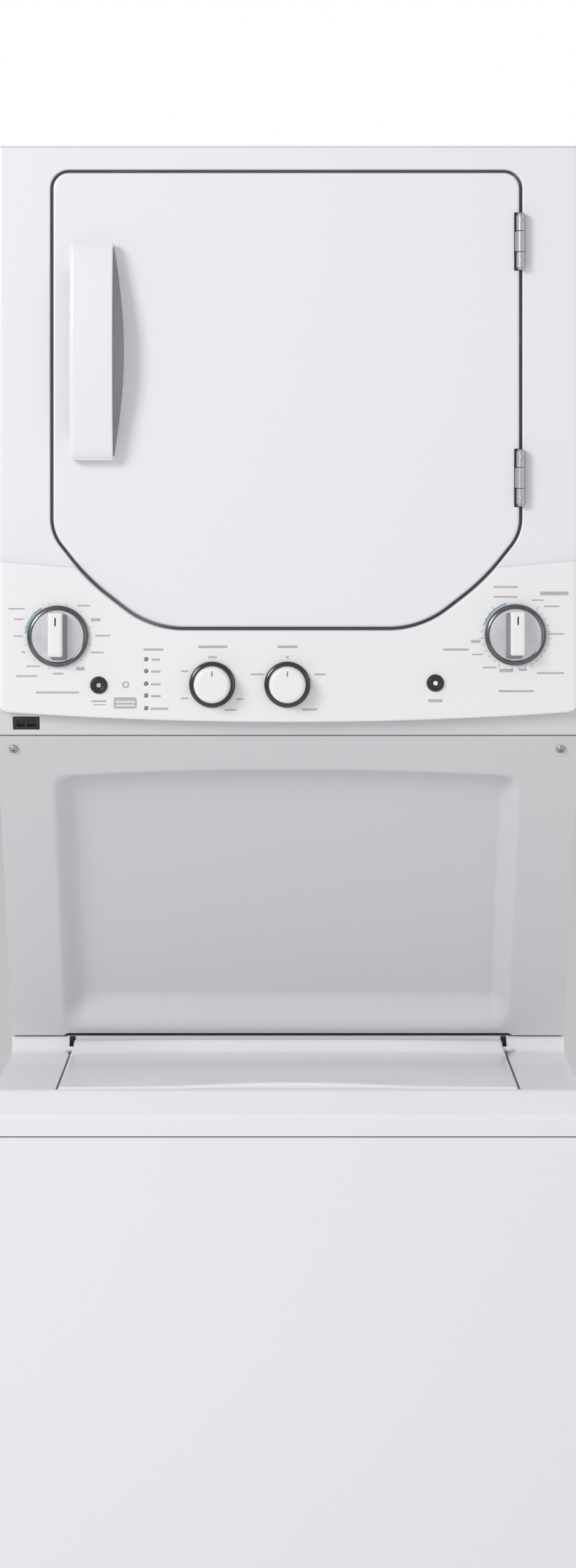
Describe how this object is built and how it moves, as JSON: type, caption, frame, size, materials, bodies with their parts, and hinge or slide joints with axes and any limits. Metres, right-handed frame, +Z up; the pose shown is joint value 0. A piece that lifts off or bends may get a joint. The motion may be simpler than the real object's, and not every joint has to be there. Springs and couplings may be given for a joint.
{
  "type": "stacked washer dryer",
  "caption": "Tall white laundry centre: a tumble dryer with a hinged front door above a shared knob console, a sloped service panel, and a top-load washer with a flip-up lid.",
  "frame": {"origin": "bottom centre of the whole object, on the floor under its middle", "axes": "+Z up, front faces -Y, +X to the right seen from the front"},
  "size_m": [0.68, 0.8, 1.927],
  "materials": {
    "enamel_white": "gloss enamel",
    "enamel_grey": "satin enamel",
    "console_plastic": "satin moulded",
    "liner_plastic": "moulded",
    "trim_grey": "moulded",
    "silver": "satin plated",
    "steel": "galvanised or stainless sheet",
    "black_plastic": "moulded",
    "rubber": "matt",
    "tub_plastic": "moulded",
    "agitator_plastic": "moulded",
    "motor_grey": "painted casting"
  },
  "bodies": {
    "root": {"washer_cabinet": "enamel_white", "washer_front_panel": "enamel_white", "washer_top_cover": "enamel_white", "left_side_panel": "enamel_white", "right_side_panel": "enamel_white", "top_panel": "enamel_white", "dryer_front_panel": "enamel_white", "recess_panel": "enamel_grey", "rear_panel": "enamel_grey", "console_fascia": "console_plastic", "door_catch": "liner_plastic", "water_inlet_valve": "liner_plastic", "cycle_status_lights": "liner_plastic", "console_lower_trim": "trim_grey", "upper_hinge_frame_leaf": "silver", "lower_hinge_frame_leaf": "silver", "recess_screw_left": "silver", "recess_screw_right": "silver", "base_frame": "steel", "suspension_rod_front_left": "steel", "suspension_rod_front_right": "steel", "suspension_rod_rear_left": "steel", "suspension_rod_rear_right": "steel", "heater_pan": "steel", "blower_housing": "steel", "dryer_base_shelf": "steel", "access_plug": "black_plastic", "drain_pump": "black_plastic", "leveling_foot_front_left": "rubber", "leveling_foot_front_right": "rubber", "leveling_foot_rear_left": "rubber", "leveling_foot_rear_right": "rubber", "washer_belt": "rubber", "drum_belt": "rubber", "outer_tub": "tub_plastic", "transmission": "motor_grey", "washer_motor": "motor_grey", "dryer_motor": "motor_grey", "drum_bearing": "motor_grey", "washer_timer": "motor_grey", "dryer_timer": "motor_grey"},
    "dryer_door": {"dryer_door": "enamel_white", "door_liner": "liner_plastic", "door_handle": "enamel_white", "upper_hinge_door_leaf": "silver", "lower_hinge_door_leaf": "silver"},
    "washer_lid": {"washer_lid": "enamel_white"},
    "washer_cycle_knob": {"washer_cycle_knob": "console_plastic"},
    "dryer_cycle_knob": {"dryer_cycle_knob": "console_plastic"},
    "temperature_knob": {"temperature_knob": "console_plastic"},
    "load_size_knob": {"load_size_knob": "console_plastic"},
    "washer_start_button": {"washer_start_button": "black_plastic"},
    "dryer_start_button": {"dryer_start_button": "black_plastic"},
    "wash_basket": {"wash_basket": "steel"},
    "agitator": {"agitator": "agitator_plastic"},
    "drive_pulley": {"drive_pulley": "motor_grey"},
    "washer_motor_pulley": {"washer_motor_pulley": "motor_grey"},
    "dryer_drum": {"dryer_drum": "steel"},
    "blower_wheel": {"blower_wheel": "motor_grey"},
    "lint_filter": {"lint_filter": "liner_plastic"}
  },
  "joints": [
    {"name": "dryer_door_hinge", "type": "hinge", "parent": "root", "child": "dryer_door", "pos_m": [0.271, -0.3465, 1.62], "axis": [0, 0, 1], "range_deg": [0, 115]},
    {"name": "washer_lid_hinge", "type": "hinge", "parent": "root", "child": "washer_lid", "pos_m": [0, -0.053, 0.838], "axis": [-1, 0, 0], "range_deg": [0, 52]},
    {"name": "washer_cycle_turn", "type": "hinge", "parent": "root", "child": "washer_cycle_knob", "pos_m": [-0.2672, -0.3525, 1.3562], "axis": [0, -1, 0], "continuous": true},
    {"name": "dryer_cycle_turn", "type": "hinge", "parent": "root", "child": "dryer_cycle_knob", "pos_m": [0.264, -0.3525, 1.3578], "axis": [0, -1, 0], "continuous": true},
    {"name": "temperature_turn", "type": "hinge", "parent": "root", "child": "temperature_knob", "pos_m": [-0.088, -0.3525, 1.3], "axis": [0, -1, 0], "range_deg": [-110, 110]},
    {"name": "load_size_turn", "type": "hinge", "parent": "root", "child": "load_size_knob", "pos_m": [-0.0008, -0.3525, 1.3], "axis": [0, -1, 0], "range_deg": [-110, 110]},
    {"name": "washer_start_press", "type": "slide", "parent": "root", "child": "washer_start_button", "axis": [0, 1, 0], "range_m": [0, 0.003], "stiffness_N_per_m": 400},
    {"name": "dryer_start_press", "type": "slide", "parent": "root", "child": "dryer_start_button", "axis": [0, 1, 0], "range_m": [0, 0.003], "stiffness_N_per_m": 400},
    {"name": "basket_spin", "type": "hinge", "parent": "root", "child": "wash_basket", "pos_m": [0, -0.075, 0.2], "axis": [0, 0, 1], "continuous": true},
    {"name": "agitator_turn", "type": "hinge", "parent": "root", "child": "agitator", "pos_m": [0, -0.075, 0.2], "axis": [0, 0, 1], "continuous": true},
    {"name": "drive_pulley_spin", "type": "hinge", "parent": "root", "child": "drive_pulley", "pos_m": [0, -0.075, 0.108], "axis": [0, 0, 1], "continuous": true},
    {"name": "washer_motor_spin", "type": "hinge", "parent": "root", "child": "washer_motor_pulley", "pos_m": [0, 0.105, 0.108], "axis": [0, 0, 1], "continuous": true},
    {"name": "drum_spin", "type": "hinge", "parent": "root", "child": "dryer_drum", "pos_m": [0, 0, 1.614], "axis": [0, -1, 0], "continuous": true},
    {"name": "blower_spin", "type": "hinge", "parent": "root", "child": "blower_wheel", "pos_m": [0.1, 0, 1.225], "axis": [0, -1, 0], "continuous": true},
    {"name": "lint_filter_slide", "type": "slide", "parent": "root", "child": "lint_filter", "axis": [0, 0, 1], "range_m": [0, 0.14]}
  ],
  "couplings": [
    {"joint": "drive_pulley_spin", "follows": "basket_spin", "ratio": 1},
    {"joint": "washer_motor_spin", "follows": "basket_spin", "ratio": 3.667},
    {"joint": "blower_spin", "follows": "drum_spin", "ratio": 21.33}
  ]
}
